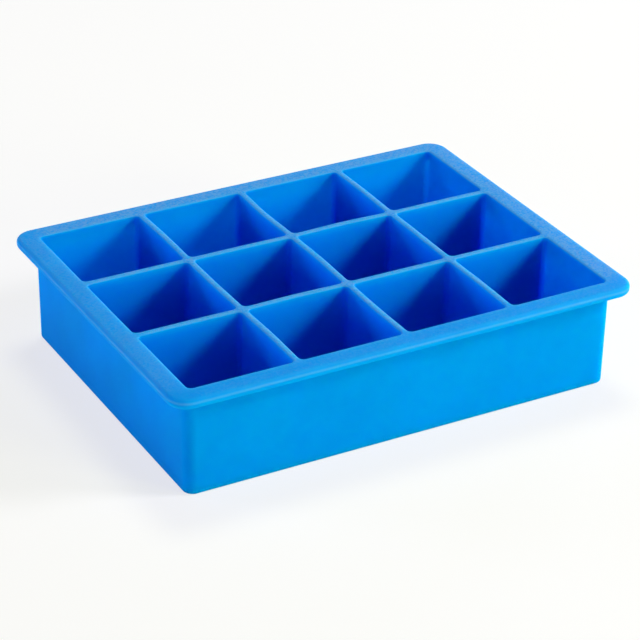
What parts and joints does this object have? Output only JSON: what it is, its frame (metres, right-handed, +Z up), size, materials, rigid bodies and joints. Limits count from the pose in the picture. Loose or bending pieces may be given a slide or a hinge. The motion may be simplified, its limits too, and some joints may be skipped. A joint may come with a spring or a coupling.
{
  "type": "ice cube tray",
  "caption": "Deep silicone tray of large square ice cube cells under one flat rounded rim, moulded in one piece.",
  "frame": {"origin": "middle of the flat base, on the surface the tray stands on", "axes": "+X along the longer side of the tray, +Y across it, +Z up out of the open cells"},
  "size_m": [0.2082, 0.1586, 0.0468],
  "materials": {
    "blue_silicone": "satin, slightly translucent moulded silicone"
  },
  "bodies": {
    "root": {"ice_cube_tray": "blue_silicone"}
  },
  "joints": []
}
